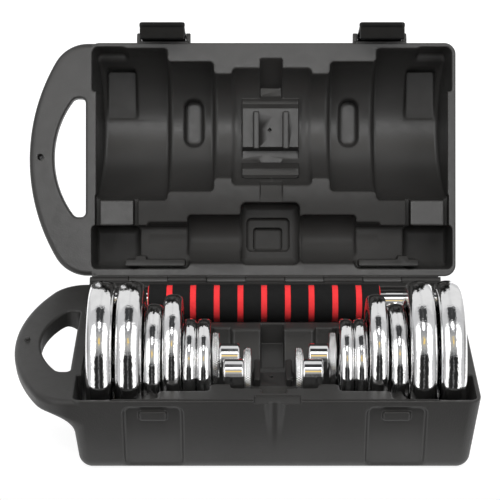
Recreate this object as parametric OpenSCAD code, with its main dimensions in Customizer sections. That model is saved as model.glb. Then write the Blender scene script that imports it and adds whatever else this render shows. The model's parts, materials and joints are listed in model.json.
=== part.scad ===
// Chrome adjustable dumbbell set in a double-wall carry case.
// Origin: centre of the underside of the case body. X runs along the case, the hinge is at +Y, Z is up.
// Everything is drawn where it lies with the lid open.

/* [Case] */
// Length of the case body at its rim
case_w = 384; // [380:1:392]
// Depth of the case body at its rim, front to back
case_d = 244; // [243:1:250]
// Height of one shell, from its flat face to its rim
shell_h = 80; // [80:1:84]
// How far each side wall leans in over the height of a shell
draft = 8; // [7:0.5:9]
// Radius of the upright corners
corner_r = 12; // [8:1:14]
// Radius along the bottom edges
edge_r = 12; // [8:1:14]
// Wall thickness of the blow-moulded skins
skin = 2.4; // [2:0.1:2.4]

/* [Lid and hinge] */
// Angle of the open lid from its closed place
lid_open = 116; // [100:1:116]
// Distance of the hinge axis behind the rear rim
hinge_gap = 4.5; // [4.5:0.1:5]
// Radius of the hinge knuckles
knuckle_r = 4; // [3.6:0.1:4]
// Diameter of the steel hinge pin
pin_d = 3; // [2.5:0.1:3.5]

/* [Carrying handle] */
// How far the handle stands out of the end of the case
handle_out = 62; // [60:1:66]
// Half of the handle's width along the end of the case
handle_half = 122; // [118:1:122]
// Thickness of one half of the handle
handle_t = 18; // [16:1:20]
// Depth of the hand hole
hand_depth = 33.5; // [30:0.5:36]
// Half of the hand hole's width
hand_half = 62; // [58:1:64]

/* [Pockets for plates and collars] */
// Distance of the plates' common axis in front of the hinge axis
stack_run = 159.5; // [159:0.5:160]
// Half width at the rim and depth of the large plates' pockets
large_pocket = [82, 76.5];
// Half width at the rim and depth of the medium plates' pockets
medium_pocket = [68, 63.5];
// Half width at the rim and depth of the collars' pockets
collar_pocket = [55, 43.5];
// Distance from the centre to the step between the large and medium pockets
medium_end = 106.4; // [106.2:0.1:106.5]
// Distance from the centre to the step between the medium and collar pockets
collar_end = 57.7; // [57:0.1:58.5]
// Distance from the centre to the inner end of the collars' pockets
centre_end = 33.4; // [33:0.1:34]
// Half width at the rim and depth of the wider pocket between them
centre_pocket = [62, 43.5];

/* [Plates] */
// Diameter, rim thickness, rim width and height of the axis of a large plate
large_plate = [148, 25, 24, 78];
// The same for a medium plate
medium_plate = [122, 17.5, 19, 77.9];
// The same for a small plate
small_plate = [97, 13.5, 14, 65.4];
// Height of the axis of the medium plate that lies in the deeper large pocket, on its sloping step
low_medium_z = 67.5; // [65:0.1:68]
// Bore of every plate
bore_d = 26.5; // [26:0.1:27]

/* [Collars] */
// Diameter of the knurled flange
flange_d = 52; // [50:0.5:52]
// Thickness of the flange
flange_t = 7.5; // [7:0.1:7.5]
// Diameter of the smooth drum
drum_d = 30.5; // [30:0.1:30.5]
// Length of the drum
drum_l = 19.5; // [18:0.1:20]
// Height of the collars' axes
collar_z = 67.2; // [67.2:0.1:69]
// Half the distance between the axes of the two collars of a pair
collar_half_gap = 15.5; // [15.5:0.1:16]

/* [Dumbbell bars] */
// Diameter of the bar and of its threads
bar_d = 25; // [24.5:0.1:25]
// Length of a bar
bar_l = 320; // [300:1:320]
// Diameter and length of the knurled grip
bar_grip = [29, 121];
// Diameter, thickness and distance from the middle of the stop rings
stop_ring = [35, 5, 63];
// Height of the bars' axes
bar_z = 22.2; // [22:0.1:23]

/* [Connecting tube] */
// Outer diameter
tube_d = 28; // [27:0.5:28]
// Length
tube_l = 360; // [340:1:360]
// Diameter of the black foam bands
foam_d = 39.4; // [38:0.1:39.4]
// Diameter of the red sleeve under the bands
sleeve_d = 37.4; // [36:0.1:38]
// Length of the foam grip
foam_l = 237; // [220:1:240]
// Number of foam bands
bands = 10; // [8:1:11]
// Width of the grooves between the bands
groove_w = 6; // [4:0.5:7]
// Distance of the tube's axis in front of the hinge axis
tube_run = 41.5; // [41:0.5:42]
// Height of the tube's axis
tube_z = 74.9; // [74:0.1:76]

/* [Latches] */
// Distance of each latch from the middle of the case
latch_x = 113.5; // [110:0.5:118]
// Width of a latch
latch_w = 46; // [40:1:46]
// Height of the latch's hinge above the rim
latch_up = 17; // [16:0.5:18]
// How far the latch's hinge stands in front of the rim
latch_out = 7.5; // [7:0.5:8]
// Reach of the latch below the rim
latch_down = 27.5; // [27:0.5:28]
// How far a latch stands ajar when the lid is open
latch_ajar = 8; // [6:1:10]

/* [Hidden] */
$fn = 96;
fine = 0.4;
rim_gap = 0.2;
hinge_y = case_d / 2 + hinge_gap;
rim_z = shell_h;
stack_y = hinge_y - stack_run;
tube_y = hinge_y - tube_run;
end_wall = skin + 0.6;
slope = draft / shell_h;
pocket_end = case_w / 2;
lean = atan(slope);
latch_y = -case_d / 2 - latch_out;
latch_z = rim_z + latch_up;
latch_t = 3.8;
hook_t = 3.6;
latch_barrel_r = 4.3;
ear_w = 5;
recess_w = 55;
recess_depth = 4;
recess_top = 7;
recess_low = 75;
catch_w = 26;
catch_z = [rim_z - 23, rim_z - 12.5];
channel = [43.6, case_d / 2 - 8];
bar_ends = [-171.5, 159];
tube_ends = [-189, 177];
tube_mid = -6.5;
foam_mid = -8.5;
bar_front_y = 62;
bar_rear_y = 95.5;
bar_front_mid = -9.5;
bar_rear_mid = -3;
peg_x = -case_w / 2 - 49.6;
peg_y = hinge_y - 129;
plate_x_left = [-164.3, -137.2, -115.5, -96.8, -81, -67.2];
plate_x_right = [167.3, 140, 118.4, 98.7, 83.1, 69.4];
collar_left = [-60, -21.6];
collar_right = [61, 20.3];
knuckle_run = [-190, 176];
knuckles = 9;
knuckle_l = (knuckle_run[1] - knuckle_run[0]) / knuckles;

// ---------- helpers ----------

// Turns a shape drawn along Z so that it runs along X.
module along_x() { rotate([0, 90, 0]) children(); }

// Puts a shape drawn in the closed lid's place where the open lid carries it.
module opened() {
    translate([0, hinge_y, rim_z]) rotate([-lid_open, 0, 0]) translate([0, -hinge_y, -rim_z]) children();
}

// Flips a base-side shape about the rim plane into the closed lid's place.
module over_rim() { translate([0, 0, 2 * rim_z]) mirror([0, 0, 1]) children(); }

// Cylinder along X from x0 to x1.
module rod_x(x0, x1, y, z, r) { translate([x0, y, z]) along_x() cylinder(r = r, h = x1 - x0); }

// Radius of the arc that is 2 * half wide at the rim and deep at its lowest.
function arc_r(half, deep) = (half * half + deep * deep) / (2 * deep);

// Side view of a shell: a trapezium that narrows downwards, with rounded lower corners.
module lean_profile(half_rim, bottom, top, r) {
    low = half_rim - (rim_z - bottom) * slope;
    high = half_rim + (top - rim_z) * slope;
    len = sqrt(1 + slope * slope);
    cx = low + r * slope - r * len;
    polygon([[-cx, bottom], [cx, bottom], [cx + r / len, bottom + r - r * slope / len], [high, top],
             [-high, top], [-cx - r / len, bottom + r - r * slope / len]]);
    for (side = [-1, 1]) translate([side * cx, bottom + r]) circle(r = r);
}

// Body of a shell, drawn inset by g on every side and closed at the given height.
module body_form(g, top) {
    half_w = case_w / 2 - g;
    half_d = case_d / 2 - g;
    r = max(corner_r - g, 1);
    er = edge_r - g;
    intersection() {
        rotate([90, 0, 0]) linear_extrude(2 * half_d + 40, center = true)
            lean_profile(half_w, g, top, er);
        rotate([90, 0, 90]) linear_extrude(2 * half_w + 40, center = true)
            lean_profile(half_d, g, top, er);
        linear_extrude(top) {
            square([2 * half_w, 2 * (half_d - r)], center = true);
            square([2 * (half_w - r), 2 * half_d], center = true);
            for (x = [-1, 1], y = [-1, 1]) translate([x * (half_w - r), y * (half_d - r)]) circle(r = r);
        }
    }
}

// Half oval against a straight line at x = 0: out deep, 2 * half wide, with rounded shoulders of radius r
// whose centres stand p away from the line.
module half_oval(out, half, r, p, back) {
    q = half - r;
    big = (pow(out - p, 2) + q * q - r * r) / (2 * (out - p - r));
    cx = big - out;
    reach = sqrt(pow(cx + p, 2) + q * q);
    tx = cx - big * (cx + p) / reach;
    ty = big * q / reach;
    intersection() {
        translate([cx, 0]) circle(r = big);
        translate([-out - 1, -ty]) square([out + 1 + back, 2 * ty]);
    }
    polygon([[back, -half], [-p, -half], [tx, -ty], [tx, ty], [-p, half], [back, half]]);
    for (side = [-1, 1]) translate([-p, side * q]) circle(r = r);
}

// One half of the handle, inset by g.
module handle_form(g) {
    translate([-case_w / 2, 0, rim_z - handle_t + g]) linear_extrude(handle_t - 2 * g)
        half_oval(handle_out - g, handle_half - g, 40 - g, 0, 10);
}

// The hand hole through it, grown by g.
module hand_hole(g) {
    translate([-case_w / 2 - 2.5 + g, -2, rim_z - handle_t - 1]) linear_extrude(handle_t + 2)
        intersection() {
            half_oval(hand_depth + 2 * g, hand_half + g, 8 + g, 8 + g, 0.01);
            translate([-100, -100]) square([100, 200]);
        }
}

// Round-bottomed pocket along X, grown by g.
module arc_pocket(x0, x1, size, g) {
    r = arc_r(size[0], size[1]);
    rod_x(x0 - g, x1 + g, stack_y, rim_z - size[1] + r, r + g);
}

// The pockets that base and lid have in common, grown by g.
module stack_pockets(g) {
    for (side = [0, 1]) mirror([side, 0, 0]) {
        arc_pocket(-pocket_end, -medium_end, large_pocket, g);
        arc_pocket(-medium_end - 1, -collar_end, medium_pocket, g);
        arc_pocket(-collar_end - 1, -centre_end, collar_pocket, g);
    }
    arc_pocket(-centre_end - 0.01, centre_end + 0.01, centre_pocket, g);
}

// Box with long edges rounded at the bottom, from corner to corner, grown by g.
module trough(x, y, z0, r, g) {
    top = rim_z + 8;
    translate([x[0] - g, 0, 0]) rotate([90, 0, 90]) linear_extrude(x[1] - x[0] + 2 * g) {
        translate([y[0] - g, z0 + r - g]) square([y[1] - y[0] + 2 * g, top - z0 - r + g]);
        translate([y[0] + r, z0 - g]) square([y[1] - y[0] - 2 * r, r + 2 * g]);
        for (c = [y[0] + r, y[1] - r]) translate([c, z0 + r]) circle(r = r + g);
    }
}

// Rear channel of the base: the bars lie in its bottom and the tube's ends rest in two saddles.
module base_channel(g) {
    trough(bar_ends, channel, 4, 12, g);
    trough(tube_ends, channel, tube_z, 4, g);
    rod_x(tube_ends[0] - g, tube_ends[1] + g, tube_y, tube_z, tube_d / 2 + fine + g);
}

// Rear channel of the lid, drawn on the base side of the rim plane.
module lid_channel(g) {
    z = 2 * rim_z - tube_z;
    for (side = [-1, 1]) {
        trough([side * 163.5 - 25.5, side * 163.5 + 25.5], [hinge_y - 56, hinge_y - 9.5], rim_z - 40, 12, g);
        rod_x(side * 59 - 29, side * 59 + 29, hinge_y - 41, rim_z, 25 + g);
    }
    trough([-32.5, 29], [hinge_y - 79, hinge_y - 13], rim_z - 30, 10, g);
    rod_x(-130 - g, 113 + g, tube_y, z, foam_d / 2 + 0.6 + g);
    rod_x(tube_ends[0] + 0.5 - g, tube_ends[1] - 0.5 + g, tube_y, z, tube_d / 2 + 0.8 + g);
}

// Everything hollowed out of the base, kept inside the leaning outer walls.
module base_hollows(g) {
    intersection() {
        union() {
            stack_pockets(g);
            base_channel(g);
        }
        body_form(end_wall - g, rim_z + 6);
    }
}

// The same for the lid.
module lid_hollows(g) {
    intersection() {
        union() {
            stack_pockets(g);
            lid_channel(g);
        }
        body_form(end_wall - g, rim_z + 6);
    }
}

// Plain double-wall shell: outer skin and handle, with an air gap around the hollows.
module air_gap() {
    difference() {
        union() {
            body_form(skin, rim_z - skin);
            handle_form(skin);
        }
        hand_hole(skin);
        children();
    }
}

// Recess in the front wall below a latch, with the catch that its hook holds.
module latch_recess(g) {
    translate([0, -case_d / 2, rim_z]) rotate([lean, 0, 0])
        translate([-recess_w / 2 - g, -20, -recess_low - g])
            cube([recess_w + 2 * g, 20 + recess_depth + g, recess_low - recess_top + 2 * g]);
}

module latch_catch() {
    translate([0, -case_d / 2, rim_z]) rotate([lean, 0, 0])
        translate([-catch_w / 2, 1, catch_z[0] - rim_z]) cube([catch_w, recess_depth + 1, catch_z[1] - catch_z[0]]);
}

// Upright half-round groove in the middle of the front wall. It fades out downwards as the wall leans in.
module front_groove(g) {
    r = 11;
    translate([0, -case_d / 2 - r + 4.9, -5]) cylinder(r = r + g, h = rim_z - 3 + 5 + g);
}

// Knuckle k of the hinge, with the web that joins it to a shell's rear rim.
module knuckle(k, below) {
    x = knuckle_run[0] + k * knuckle_l + 0.2;
    w = knuckle_l - 0.4;
    rod_x(x, x + w, hinge_y, rim_z, knuckle_r);
    translate([x, hinge_y - hinge_gap - 2, below ? rim_z - knuckle_r : rim_z + 0.3])
        cube([w, hinge_gap + 2, knuckle_r - 0.3]);
}

module pin_bore(r) { rod_x(knuckle_run[0] - 5, knuckle_run[1] + 5, hinge_y, rim_z, r); }

// ---------- case ----------

module base_shell() {
    color([0.09, 0.09, 0.095]) difference() {
        union() {
            difference() {
                union() {
                    body_form(0, rim_z);
                    handle_form(0);
                }
                hand_hole(0);
                base_hollows(0);
                air_gap() {
                    base_hollows(skin);
                    for (side = [-1, 1]) translate([side * latch_x, 0, 0]) latch_recess(skin);
                    front_groove(skin);
                }
                for (side = [-1, 1]) translate([side * latch_x, 0, 0]) latch_recess(0);
                front_groove(0);
                translate([-1.7, stack_y + 4, 30]) cylinder(d = 2.5, h = 20);
            }
            for (side = [-1, 1]) translate([side * latch_x, 0, 0]) latch_catch();
            for (k = [0 : 2 : knuckles - 1]) knuckle(k, true);
            translate([peg_x, peg_y, rim_z - skin]) cylinder(r = 2.4, h = skin + 3);
        }
        pin_bore(pin_d / 2);
    }
}

module lid_closed() {
    difference() {
        union() {
            over_rim() difference() {
                union() {
                    body_form(0, rim_z);
                    handle_form(0);
                }
                hand_hole(0);
                lid_hollows(0);
                air_gap() {
                    lid_hollows(skin);
                    translate([peg_x, peg_y, rim_z - 8]) cylinder(r = 3 + skin, h = 8);
                }
                translate([peg_x, peg_y, rim_z - 5]) cylinder(r = 3, h = 6);
                translate([-case_w, -case_d, rim_z - rim_gap]) cube([2 * case_w, 2 * case_d, 1]);
                translate([-1.7, stack_y + 4, 30]) cylinder(d = 2.5, h = 20);
            }
            for (k = [1 : 2 : knuckles - 1]) knuckle(k, false);
            for (side = [-1, 1]) translate([side * latch_x, 0, 0]) latch_ears();
        }
        pin_bore(pin_d / 2 + 0.05);
        for (side = [-1, 1]) translate([side * latch_x, 0, 0]) latch_bore(pin_d / 2);
    }
}

module lid_shell() { color([0.09, 0.09, 0.095]) opened() lid_closed(); }

module hinge_pin() {
    color([0.6, 0.6, 0.62]) rod_x(knuckle_run[0] + 0.5, knuckle_run[1] - 0.5, hinge_y, rim_z, pin_d / 2);
}

// ---------- latches ----------

module latch_ears() {
    for (side = [-1, 1]) translate([side * (latch_w / 2 + fine + ear_w / 2), 0, 0]) {
        rod_x(-ear_w / 2, ear_w / 2, latch_y, latch_z, latch_barrel_r);
        translate([-ear_w / 2, latch_y, latch_z - latch_barrel_r]) cube([ear_w, latch_out + 3, 2 * latch_barrel_r]);
    }
}

module latch_bore(r) {
    half = latch_w / 2 + fine + ear_w;
    rod_x(-half - 1, half + 1, latch_y, latch_z, r);
}

// A latch in its shut place in front of the closed shells.
module latch_shut() {
    low = rim_z - latch_down;
    difference() {
        union() {
            rod_x(-latch_w / 2, latch_w / 2, latch_y, latch_z, latch_barrel_r);
            translate([-latch_w / 2, latch_y - latch_barrel_r, low])
                cube([latch_w, latch_t, latch_z - low]);
            translate([-latch_w / 2, latch_y - latch_barrel_r, low])
                cube([latch_w, latch_barrel_r + latch_out + 5.5, hook_t]);
        }
        rod_x(-latch_w / 2 - 1, latch_w / 2 + 1, latch_y, latch_z, pin_d / 2 + 0.05);
    }
}

module latch(side) {
    color([0.07, 0.07, 0.075]) opened() translate([side * latch_x, latch_y, latch_z])
        rotate([-latch_ajar, 0, 0]) translate([0, -latch_y, -latch_z]) latch_shut();
}

module latch_left() { latch(-1); }
module latch_right() { latch(1); }

module latch_pin(side) {
    half = latch_w / 2 + fine + ear_w - 0.3;
    color([0.6, 0.6, 0.62]) opened() translate([side * latch_x, 0, 0])
        rod_x(-half, half, latch_y, latch_z, pin_d / 2);
}

module latch_pin_left() { latch_pin(-1); }
module latch_pin_right() { latch_pin(1); }

// ---------- plates ----------

// Half section of a plate: full rounded rim, thin web, raised hub.
module plate_section(d, t, rim_w) {
    r = d / 2;
    er = 0.34 * t;
    web = 0.42 * t;
    hub = bore_d / 2 + 7;
    inner = r - rim_w;
    ir = 0.3 * t;
    translate([bore_d / 2, -web / 2]) square([inner + ir - bore_d / 2, web]);
    translate([bore_d / 2, -0.39 * t]) square([hub - bore_d / 2, 0.78 * t]);
    translate([inner + ir, -t / 2]) square([rim_w - ir - er, t]);
    translate([inner, -t / 2 + ir]) square([rim_w, t - 2 * ir]);
    translate([r - er - 0.01, -t / 2 + er]) square([er + 0.01, t - 2 * er]);
    for (s = [-1, 1]) {
        translate([r - er, s * (t / 2 - er)]) circle(r = er);
        translate([inner + ir, s * (t / 2 - ir)]) circle(r = ir);
    }
}

module plate(size, x, z) {
    color([0.8, 0.81, 0.83]) translate([x, stack_y, z]) along_x()
        rotate_extrude() intersection() {
            plate_section(size[0], size[1], size[2]);
            translate([bore_d / 2, -size[1]]) square([size[0], 2 * size[1]]);
        }
}

module plate_large_left_outer() { plate(large_plate, plate_x_left[0], large_plate[3]); }
module plate_large_left_inner() { plate(large_plate, plate_x_left[1], large_plate[3]); }
module plate_medium_left_outer() { plate(medium_plate, plate_x_left[2], low_medium_z); }
module plate_medium_left_inner() { plate(medium_plate, plate_x_left[3], medium_plate[3]); }
module plate_small_left_outer() { plate(small_plate, plate_x_left[4], small_plate[3]); }
module plate_small_left_inner() { plate(small_plate, plate_x_left[5], small_plate[3]); }
module plate_large_right_outer() { plate(large_plate, plate_x_right[0], large_plate[3]); }
module plate_large_right_inner() { plate(large_plate, plate_x_right[1], large_plate[3]); }
module plate_medium_right_outer() { plate(medium_plate, plate_x_right[2], low_medium_z); }
module plate_medium_right_inner() { plate(medium_plate, plate_x_right[3], medium_plate[3]); }
module plate_small_right_outer() { plate(small_plate, plate_x_right[4], small_plate[3]); }
module plate_small_right_inner() { plate(small_plate, plate_x_right[5], small_plate[3]); }

// ---------- collars ----------

// A collar with its clamping face at x = 0 and its drum towards +X. The face has a seat for a rubber ring.
module collar_form() {
    along_x() difference() {
        union() {
            cylinder(d = flange_d, h = flange_t);
            cylinder(d = drum_d, h = flange_t + drum_l);
        }
        translate([0, 0, -1]) cylinder(d = bar_d + 0.1, h = flange_t + drum_l + 2);
        translate([0, 0, -1]) cylinder(d = 38, h = 2.5);
    }
}

module collar(x, dir, row) {
    color([0.8, 0.81, 0.83]) translate([x, stack_y + row * collar_half_gap, collar_z])
        rotate([0, 0, dir > 0 ? 0 : 180]) collar_form();
}

module clamp_ring(x, dir, row) {
    color([0.05, 0.05, 0.05]) translate([x, stack_y + row * collar_half_gap, collar_z])
        rotate([0, 0, dir > 0 ? 0 : 180]) along_x() difference() {
            cylinder(d = 37.9, h = 1.5);
            translate([0, 0, -1]) cylinder(d = 27, h = 4);
        }
}

module collar_left_rear() { collar(collar_left[0], 1, 1); }
module collar_left_front() { collar(collar_left[1], -1, -1); }
module collar_right_rear() { collar(collar_right[0], -1, 1); }
module collar_right_front() { collar(collar_right[1], 1, -1); }
module ring_left_rear() { clamp_ring(collar_left[0], 1, 1); }
module ring_left_front() { clamp_ring(collar_left[1], -1, -1); }
module ring_right_rear() { clamp_ring(collar_right[0], -1, 1); }
module ring_right_front() { clamp_ring(collar_right[1], 1, -1); }

// ---------- dumbbell bars ----------

module bar(mid, y) {
    color([0.8, 0.81, 0.83]) {
        rod_x(mid - bar_l / 2, mid + bar_l / 2, y, bar_z, bar_d / 2);
        rod_x(mid - bar_grip[1] / 2, mid + bar_grip[1] / 2, y, bar_z, bar_grip[0] / 2);
    }
}

module stops(mid, y) {
    color([0.8, 0.81, 0.83]) for (side = [-1, 1]) {
        x = mid + side * stop_ring[2];
        difference() {
            rod_x(x - stop_ring[1] / 2, x + stop_ring[1] / 2, y, bar_z, stop_ring[0] / 2);
            rod_x(x - stop_ring[1], x + stop_ring[1], y, bar_z, bar_d / 2);
        }
    }
}

module bar_front() { bar(bar_front_mid, bar_front_y); }
module bar_rear() { bar(bar_rear_mid, bar_rear_y); }
module bar_front_stops() { stops(bar_front_mid, bar_front_y); }
module bar_rear_stops() { stops(bar_rear_mid, bar_rear_y); }

// ---------- connecting tube ----------

// Ring along X around the tube's axis.
module tube_ring(x0, x1, outer, inner) {
    difference() {
        rod_x(x0, x1, tube_y, tube_z, outer / 2);
        rod_x(x0 - 1, x1 + 1, tube_y, tube_z, inner / 2);
    }
}

module connector_tube() {
    color([0.8, 0.81, 0.83])
        tube_ring(tube_mid - tube_l / 2, tube_mid + tube_l / 2, tube_d, bar_d + 0.1);
}

module grip_sleeve() {
    color([0.8, 0.1, 0.1]) tube_ring(foam_mid - foam_l / 2, foam_mid + foam_l / 2, sleeve_d, tube_d);
}

module grip_bands() {
    pitch = (foam_l - 2 + groove_w) / bands;
    color([0.06, 0.06, 0.06]) for (k = [0 : bands - 1]) {
        x = foam_mid - foam_l / 2 + 1 + k * pitch;
        tube_ring(x, x + pitch - groove_w, foam_d, sleeve_d);
    }
}

base_shell();
lid_shell();
hinge_pin();
latch_left();
latch_right();
latch_pin_left();
latch_pin_right();
plate_large_left_outer();
plate_large_left_inner();
plate_medium_left_outer();
plate_medium_left_inner();
plate_small_left_outer();
plate_small_left_inner();
plate_large_right_outer();
plate_large_right_inner();
plate_medium_right_outer();
plate_medium_right_inner();
plate_small_right_outer();
plate_small_right_inner();
collar_left_rear();
collar_left_front();
collar_right_rear();
collar_right_front();
ring_left_rear();
ring_left_front();
ring_right_rear();
ring_right_front();
bar_front();
bar_rear();
bar_front_stops();
bar_rear_stops();
connector_tube();
grip_sleeve();
grip_bands();
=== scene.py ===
"""Chrome adjustable dumbbell set in a double-wall carry case: the looks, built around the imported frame.

The two shells are drawn as distance fields in millimetres, in one set of coordinates that both share: x along the
case, s forward from the hinge axis, and w down into the shell from its rim plane. A field is negative inside.
"""
import json
import math

import bmesh
import bpy
import numpy as np
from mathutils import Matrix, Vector

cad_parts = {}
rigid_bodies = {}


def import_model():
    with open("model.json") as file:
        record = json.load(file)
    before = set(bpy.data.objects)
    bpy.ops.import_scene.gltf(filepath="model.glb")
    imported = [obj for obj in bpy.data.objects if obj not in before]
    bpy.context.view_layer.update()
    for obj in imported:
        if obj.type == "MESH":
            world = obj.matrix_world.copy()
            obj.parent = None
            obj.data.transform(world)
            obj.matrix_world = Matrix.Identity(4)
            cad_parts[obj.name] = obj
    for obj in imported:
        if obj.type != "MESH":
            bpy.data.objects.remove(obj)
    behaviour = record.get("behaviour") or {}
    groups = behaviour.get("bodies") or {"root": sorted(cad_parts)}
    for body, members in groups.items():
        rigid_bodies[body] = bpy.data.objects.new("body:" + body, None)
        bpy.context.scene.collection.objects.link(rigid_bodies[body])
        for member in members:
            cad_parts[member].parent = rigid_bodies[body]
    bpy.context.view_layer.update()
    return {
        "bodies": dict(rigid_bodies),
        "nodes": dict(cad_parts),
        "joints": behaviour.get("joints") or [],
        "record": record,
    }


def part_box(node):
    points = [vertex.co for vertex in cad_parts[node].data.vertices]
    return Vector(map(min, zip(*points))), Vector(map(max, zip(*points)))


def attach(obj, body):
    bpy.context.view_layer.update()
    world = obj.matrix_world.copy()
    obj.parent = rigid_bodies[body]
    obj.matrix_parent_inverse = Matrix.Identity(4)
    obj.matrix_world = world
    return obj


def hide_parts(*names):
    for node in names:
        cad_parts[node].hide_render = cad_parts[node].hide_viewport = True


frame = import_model()

MM = 0.001

# ---------- driving sizes of the case, in millimetres ----------

CASE_W, CASE_D, SHELL_H = 384.0, 244.0, 80.0
LEAN = 0.1
CORNER_R, EDGE_R = 12.0, 12.0
HINGE_Y = CASE_D / 2 + 4.5
MID_S = HINGE_Y
LID_OPEN = math.radians(116)
HANDLE_OUT, HANDLE_HALF, HANDLE_T = 62.0, 122.0, 18.0
STACK_S = 159.5
BASE_STACK = ((81.5, 76.5, 161.8), (68, 63.5, STACK_S), (55.5, 43.5, STACK_S), (63.5, 43.5, STACK_S))
LID_STACK = ((79.5, 76.5, 163.6), (67.4, 63.5, 161.0), (53.9, 43.5, 161.6), (60.9, 43.5, 160.8))
MEDIUM_END, COLLAR_END, CENTRE_END = 109.4, 61.0, 33.4
LATCH_X, RECESS_W, RECESS_DEPTH = 113.5, 55.0, 4.0
HINGE_START, HINGE_END = -190, 176


# ---------- camera ----------

def look(obj, direction):
    """Turns a camera or lamp so that it looks along a direction."""
    obj.rotation_euler = Vector(direction).to_track_quat("-Z", "Y").to_euler()


def make_camera():
    data = bpy.data.cameras.new("camera")
    data.lens = 135.4
    data.sensor_width = 36
    data.clip_end = 20
    data.shift_x = 0.0032
    camera = bpy.data.objects.new("camera", data)
    bpy.context.scene.collection.objects.link(camera)
    camera.location = (-0.0245, -1.6257, 0.9645)
    look(camera, (0, 0.900, -0.436))
    bpy.context.scene.camera = camera


make_camera()


# ---------- distance fields ----------

def both(a, b, r):
    """Inside a and inside b, with the edge between them rounded to radius r."""
    return np.minimum(-r, np.maximum(a, b)) + np.hypot(np.maximum(a + r, 0), np.maximum(b + r, 0))


def either(a, b, r):
    """Inside a or inside b, with the corner between them filled to radius r."""
    return np.maximum(r, np.minimum(a, b)) - np.hypot(np.maximum(r - a, 0), np.maximum(r - b, 0))


def span(v, low, high):
    """Inside where v lies between low and high."""
    return np.maximum(low - v, v - high)


def rod(a, b, ca, cb, r):
    """Inside a cylinder whose axis passes through (ca, cb)."""
    return np.hypot(a - ca, b - cb) - r


def half_oval(px, py, out, half, r, p):
    """Plan of the handle: a flat arch out deep and 2 * half wide on the line px = 0, with shoulders of radius r."""
    q = half - r
    big = ((out - p) ** 2 + q * q - r * r) / (2 * (out - p - r))
    cx = big - out
    side = np.abs(py)
    shoulder = side * (cx + p) > q * (cx - px)
    d = np.where(shoulder, np.hypot(px + p, side - q) - r, np.hypot(px - cx, side) - big)
    return np.maximum(np.where(px > -p, side - half, d), -r)


def outer_form(x, s, w):
    """Outside of one shell: leaning walls, rounded corners, and the handle that flares out of the left end."""
    k = 1 / math.hypot(1, LEAN)
    end = (np.abs(x) - CASE_W / 2 + LEAN * w) * k
    front = (np.abs(s - MID_S) - CASE_D / 2 + LEAN * w) * k
    walls = both(end, front, CORNER_R)
    body = both(walls, w - SHELL_H, EDGE_R)
    px = x + CASE_W / 2
    plan = (half_oval(px, s - MID_S, HANDLE_OUT, HANDLE_HALF, 40.0, 0.0) + LEAN * w) * k
    under = either(walls, w - HANDLE_T, 24.0)
    handle = both(both(both(under, plan, 6.0), px - 40, 1.0), w - 55, 1.0)
    handle = both(handle, -w, 6.0)
    hole_x = px + 2.5
    hole = half_oval(hole_x, s - MID_S - 2, 33.5, 62.0, 8.0, 8.0)
    hole = both(hole, hole_x, 5.0)
    handle = both(handle, -hole, 2.5)
    return np.minimum(both(body, -w, 1.2), handle)


def inside_walls(x, s, w, thick):
    """Room between the walls, thick away from their outsides."""
    k = 1 / math.hypot(1, LEAN)
    end = (np.abs(x) - CASE_W / 2 + thick + LEAN * w) * k
    front = (np.abs(s - MID_S) - CASE_D / 2 + thick + LEAN * w) * k
    return both(end, front, 7.0)


def arc_hollow(x, s, w, size, x0, x1, ease):
    """Round-bottomed pocket for plates or collars, on both sides of the middle."""
    half, deep, middle = size
    r = (half * half + deep * deep) / (2 * deep)
    return both(rod(s, w, middle, deep - r, r), span(np.abs(x), x0, x1), ease)


def stack_hollow(x, s, w, sizes, band):
    """The pockets of one shell for the plates and collars."""
    large = arc_hollow(x, s, w, sizes[0], MEDIUM_END, 200, 4.0)
    corner = both(span(np.abs(x), 153.5, 200), both(span(s, 222, 246.4), w - 34, 8.0), 4.0)
    large = both(either(large, corner, 4.0), inside_walls(x, s, w, 4.2), 4.0)
    large = both(large, np.minimum(np.abs(x) - 183.2, 198 - s), 2.5)
    medium = arc_hollow(x, s, w, sizes[1], COLLAR_END, MEDIUM_END + 8, 4.0)
    collar = arc_hollow(x, s, w, sizes[2], CENTRE_END, COLLAR_END + 8, 4.0)
    centre = arc_hollow(x, s, w, sizes[3], -1.0, CENTRE_END + 8, 4.0)
    hollow = either(either(large, medium, 5.0), either(collar, centre, 3.0), 5.0)
    floor = (w - np.interp(s, *band)) * 0.6
    middle = both(both(span(x, -12.0, 10.8), span(s, band[0][0] + 1, band[0][-1] - 1), 2.0), floor, 1.0)
    return either(hollow, middle, 2.0)


# Floor of the stepped band across the middle: places along s, and depths there.
BASE_BAND = ([84, 90, 121.5, 134, 137, 178.5, 183, 186.5, 192, 201, 205, 222, 233],
             [0, 26, 35, 35, 24, 24, 30, 31, 38, 39, 33, 12, -2])
LID_BAND = ([81, 83, 99.8, 103.2, 107.9, 111, 118.1, 123.8, 125, 137.5, 140.5, 182, 186.5, 190, 195.5, 204.5, 208.5,
             224, 233.5], [-1, 0, 4, 10, 11, 17, 19, 30, 35, 35, 24, 24, 30, 31, 38, 39, 33, 12, -2])


def middle_frame(x, s, w, band, s0):
    """Raised frame around the band, with two blocks that hold the collars apart, and a vent hole."""
    floor = (np.interp(s, *band) - w) * 0.6
    frame = both(both(span(x, -31.3, 28.8), span(s, s0, 195), 3.0), np.maximum(floor, w - 60), 1.0)
    blocks = np.minimum(span(x, -19.4, -13.0), span(x, 11.7, 18.2))
    blocks = both(both(blocks, span(s, 138.5, 178.5), 2.0), 16 - w, 1.5)
    solid = np.minimum(frame, both(blocks, w - 50, 1.0))
    return both(solid, -both(rod(x, s, -1.8, 159, 1.4), span(w, 10, 33), 0.2), 0.3)


def box_hollow(x, s, w, xs, ss, floor, plan_r, floor_r):
    """Flat-floored pocket with rounded plan corners and a rounded foot."""
    return both(both(span(x, *xs), span(s, *ss), plan_r), w - floor, floor_r)


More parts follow.
